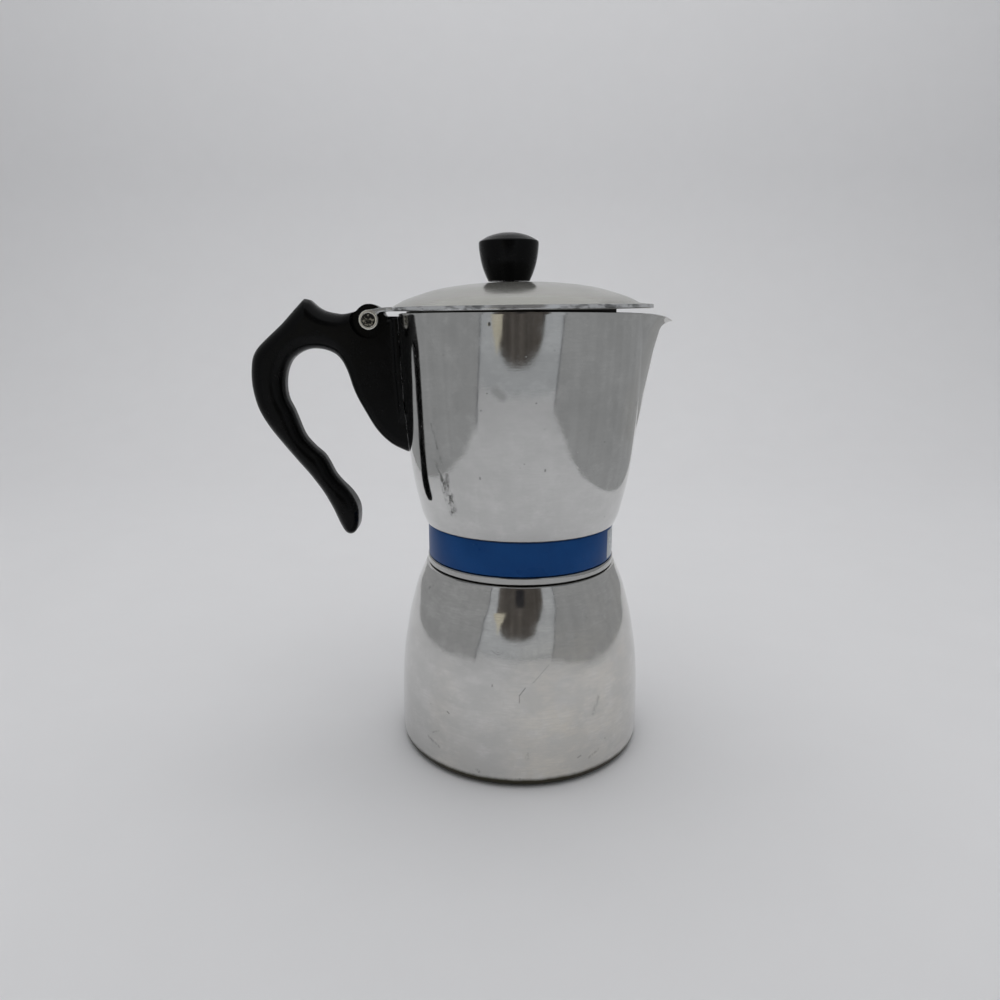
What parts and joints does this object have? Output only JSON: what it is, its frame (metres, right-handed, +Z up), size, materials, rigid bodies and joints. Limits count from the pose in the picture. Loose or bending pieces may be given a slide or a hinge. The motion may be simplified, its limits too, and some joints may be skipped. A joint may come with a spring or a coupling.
{
  "type": "moka pot",
  "caption": "Stovetop coffee maker in polished aluminium: screwed boiler and upper vessel, spout, hinged domed lid, black hooked handle and knob.",
  "frame": {"origin": "centre of the flat base, on the pot's axis", "axes": "+Z up along the pot's axis, +X towards the spout, the handle at -X, the safety valve at +Y"},
  "size_m": [0.1746, 0.1139, 0.2163],
  "materials": {
    "polished_aluminium": "polished, fine circumferential brushing, cloudy patina and small scratches",
    "lid_aluminium": "satin, slightly dull",
    "inner_aluminium": "matt with brewing patina",
    "blue_band_paint": "satin blue enamel with one plain silver patch",
    "black_bakelite": "semi-gloss moulded, lightly worn",
    "valve_brass": "machined",
    "steel_hardware": "turned",
    "hinge_pin_steel": "darkened and mottled",
    "fibre_washer": "pressed fibre",
    "gasket_rubber": "smooth, food-grade"
  },
  "bodies": {
    "boiler": {"boiler_vessel": "polished_aluminium", "valve_body": "valve_brass", "valve_washer": "fibre_washer", "valve_nut": "valve_brass", "valve_cap": "valve_brass", "valve_spring": "steel_hardware"},
    "valve_poppet": {"valve_pin": "steel_hardware"},
    "funnel": {"funnel_body": "inner_aluminium", "funnel_sieve": "inner_aluminium"},
    "filter": {"gasket": "gasket_rubber", "filter_plate": "inner_aluminium"},
    "upper": {"upper_vessel": "polished_aluminium", "coffee_column": "inner_aluminium", "blue_band": "blue_band_paint", "handle": "black_bakelite", "handle_screw_upper": "steel_hardware", "handle_screw_lower": "steel_hardware", "handle_washer_upper": "steel_hardware", "handle_washer_lower": "steel_hardware", "handle_insert_upper": "valve_brass", "handle_insert_lower": "valve_brass", "hinge_pin": "hinge_pin_steel"},
    "lid": {"lid": "lid_aluminium", "lid_knob": "black_bakelite", "knob_insert": "valve_brass", "knob_washer": "steel_hardware", "knob_screw": "steel_hardware"}
  },
  "joints": [
    {"name": "top_lift", "type": "slide", "parent": "boiler", "child": "filter", "axis": [0, 0, 1], "range_m": [0, 0.17]},
    {"name": "top_turn", "type": "hinge", "parent": "filter", "child": "upper", "pos_m": [0, 0, 0.0945], "axis": [0, 0, 1], "range_deg": [0, 720]},
    {"name": "lid_hinge", "type": "hinge", "parent": "upper", "child": "lid", "pos_m": [-0.062, 0, 0.1822], "axis": [0, -1, 0], "range_deg": [0, 100]},
    {"name": "funnel_lift", "type": "slide", "parent": "boiler", "child": "funnel", "axis": [0, 0, 1], "range_m": [0, 0.085]},
    {"name": "valve_lift", "type": "slide", "parent": "boiler", "child": "valve_poppet", "axis": [0, 1, 0], "range_m": [0, 0.0015], "stiffness_N_per_m": 1500, "springref_m": -0.0015, "deforming": ["valve_spring"]}
  ],
  "couplings": [
    {"joint": "funnel_lift", "follows": "top_lift", "ratio": 0.5}
  ]
}
